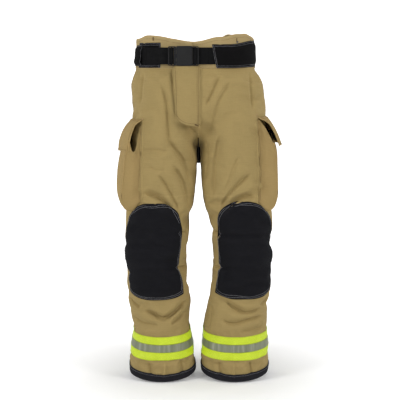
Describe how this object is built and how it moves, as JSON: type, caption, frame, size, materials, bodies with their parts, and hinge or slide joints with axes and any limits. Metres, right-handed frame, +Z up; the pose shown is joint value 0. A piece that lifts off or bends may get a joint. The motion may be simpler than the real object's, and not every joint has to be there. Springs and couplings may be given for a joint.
{
  "type": "firefighter turnout trousers",
  "caption": "Structural fire-fighting turnout trousers with belt buckle, fly, cargo pockets, knee patches and reflective ankle trim, standing as worn.",
  "frame": {"origin": "on the floor, under the middle of the garment", "axes": "+Z up the garment, the wearer faces -Y, the wearer's left is +X"},
  "size_m": [0.511, 0.2751, 1.0426],
  "materials": {
    "tan_shell": "woven aramid, dry and slightly slubbed",
    "black_aramid": "coated aramid, dull",
    "black_webbing": "woven webbing",
    "foam_pad": "closed-cell padding in a knit cover",
    "buckle_plastic": "moulded acetal, satin",
    "hardware_metal": "nickel plate, satin",
    "black_tape": "woven tape",
    "trim_lime": "fluorescent retroreflective, netted",
    "trim_silver": "silver retroreflective",
    "moisture_barrier": "laminated membrane",
    "quilted_liner": "quilted batting with a plain face cloth"
  },
  "bodies": {
    "trousers": {"seat_front_left": "tan_shell", "seat_front_right": "tan_shell", "seat_back_left": "tan_shell", "seat_back_right": "tan_shell", "waistband": "tan_shell", "waistband_lining": "black_tape", "crotch_gusset": "tan_shell", "seat_moisture_barrier": "moisture_barrier", "seat_thermal_liner": "quilted_liner", "belt_webbing": "black_webbing", "belt_tunnel_left": "black_aramid", "belt_patch_right": "black_aramid", "belt_keeper_right": "black_aramid", "belt_loop_back": "black_aramid", "buckle_socket": "buckle_plastic", "fly_placket": "tan_shell", "fly_shield": "tan_shell", "zip_tape": "black_tape", "zip_teeth": "hardware_metal", "waist_snap": "hardware_metal", "brace_buttons": "hardware_metal"},
    "thigh_left": {"thigh_front_left": "tan_shell", "thigh_back_left": "tan_shell", "thigh_liner_left": "quilted_liner", "knee_patch_upper_left": "black_aramid", "pocket_body_left": "tan_shell"},
    "shin_left": {"shin_front_left": "tan_shell", "shin_back_left": "tan_shell", "shin_liner_left": "quilted_liner", "knee_patch_lower_left": "black_aramid", "knee_pad_left": "foam_pad", "trim_lime_left": "trim_lime", "trim_silver_left": "trim_silver", "hem_binding_left": "black_tape"},
    "pocket_flap_left": {"pocket_flap_left": "tan_shell", "pocket_hook_tape_left": "black_tape"},
    "thigh_right": {"thigh_front_right": "tan_shell", "thigh_back_right": "tan_shell", "thigh_liner_right": "quilted_liner", "knee_patch_upper_right": "black_aramid", "pocket_body_right": "tan_shell"},
    "shin_right": {"shin_front_right": "tan_shell", "shin_back_right": "tan_shell", "shin_liner_right": "quilted_liner", "knee_patch_lower_right": "black_aramid", "knee_pad_right": "foam_pad", "trim_lime_right": "trim_lime", "trim_silver_right": "trim_silver", "hem_binding_right": "black_tape"},
    "pocket_flap_right": {"pocket_flap_right": "tan_shell", "pocket_hook_tape_right": "black_tape"},
    "fly_flap": {"fly_flap": "tan_shell", "fly_hook_tape": "black_tape"},
    "zip_slider": {"zip_slider": "hardware_metal"},
    "zip_pull": {"zip_pull": "hardware_metal"},
    "buckle_insert": {"buckle_insert": "buckle_plastic", "belt_tongue": "black_webbing"},
    "latch_upper": {"buckle_latch_upper": "buckle_plastic"},
    "latch_lower": {"buckle_latch_lower": "buckle_plastic"}
  },
  "joints": [
    {"name": "hip_left", "type": "hinge", "parent": "trousers", "child": "thigh_left", "pos_m": [0.103, 0.0088, 0.69], "axis": [-1, 0, 0], "range_deg": [-20, 60]},
    {"name": "knee_left", "type": "hinge", "parent": "thigh_left", "child": "shin_left", "pos_m": [0.13, 0.0038, 0.413], "axis": [1, 0, 0], "range_deg": [0, 60]},
    {"name": "flap_left", "type": "hinge", "parent": "thigh_left", "child": "pocket_flap_left", "pos_m": [0.2045, 0.0148, 0.789], "axis": [0, -1, 0], "range_deg": [0, 90]},
    {"name": "hip_right", "type": "hinge", "parent": "trousers", "child": "thigh_right", "pos_m": [-0.103, 0.0088, 0.69], "axis": [-1, 0, 0], "range_deg": [-20, 60]},
    {"name": "knee_right", "type": "hinge", "parent": "thigh_right", "child": "shin_right", "pos_m": [-0.13, 0.0038, 0.413], "axis": [1, 0, 0], "range_deg": [0, 60]},
    {"name": "flap_right", "type": "hinge", "parent": "thigh_right", "child": "pocket_flap_right", "pos_m": [-0.2045, 0.0148, 0.789], "axis": [0, 1, 0], "range_deg": [0, 90]},
    {"name": "fly_open", "type": "hinge", "parent": "trousers", "child": "fly_flap", "pos_m": [0, -0.1364, 0.861], "axis": [0, 0, 1], "range_deg": [0, 95]},
    {"name": "zip_slide", "type": "slide", "parent": "trousers", "child": "zip_slider", "axis": [0, -0.0267, -0.9996], "range_m": [0, 0.105]},
    {"name": "zip_pull_swing", "type": "hinge", "parent": "zip_slider", "child": "zip_pull", "pos_m": [-0.036, -0.12581, 0.92057], "axis": [-1, 0, 0], "range_deg": [0, 80], "deforming": ["fly_flap"]},
    {"name": "buckle_release", "type": "slide", "parent": "trousers", "child": "buckle_insert", "axis": [-1, 0, 0], "range_m": [0, 0.03], "deforming": ["belt_tongue"]},
    {"name": "latch_squeeze_upper", "type": "hinge", "parent": "buckle_insert", "child": "latch_upper", "pos_m": [-0.0654, -0.1238, 0.998], "axis": [0, 1, 0], "range_deg": [0, 5], "stiffness_Nm_per_rad": 0.2},
    {"name": "latch_squeeze_lower", "type": "hinge", "parent": "buckle_insert", "child": "latch_lower", "pos_m": [-0.0654, -0.1238, 0.958], "axis": [0, -1, 0], "range_deg": [0, 5], "stiffness_Nm_per_rad": 0.2}
  ]
}
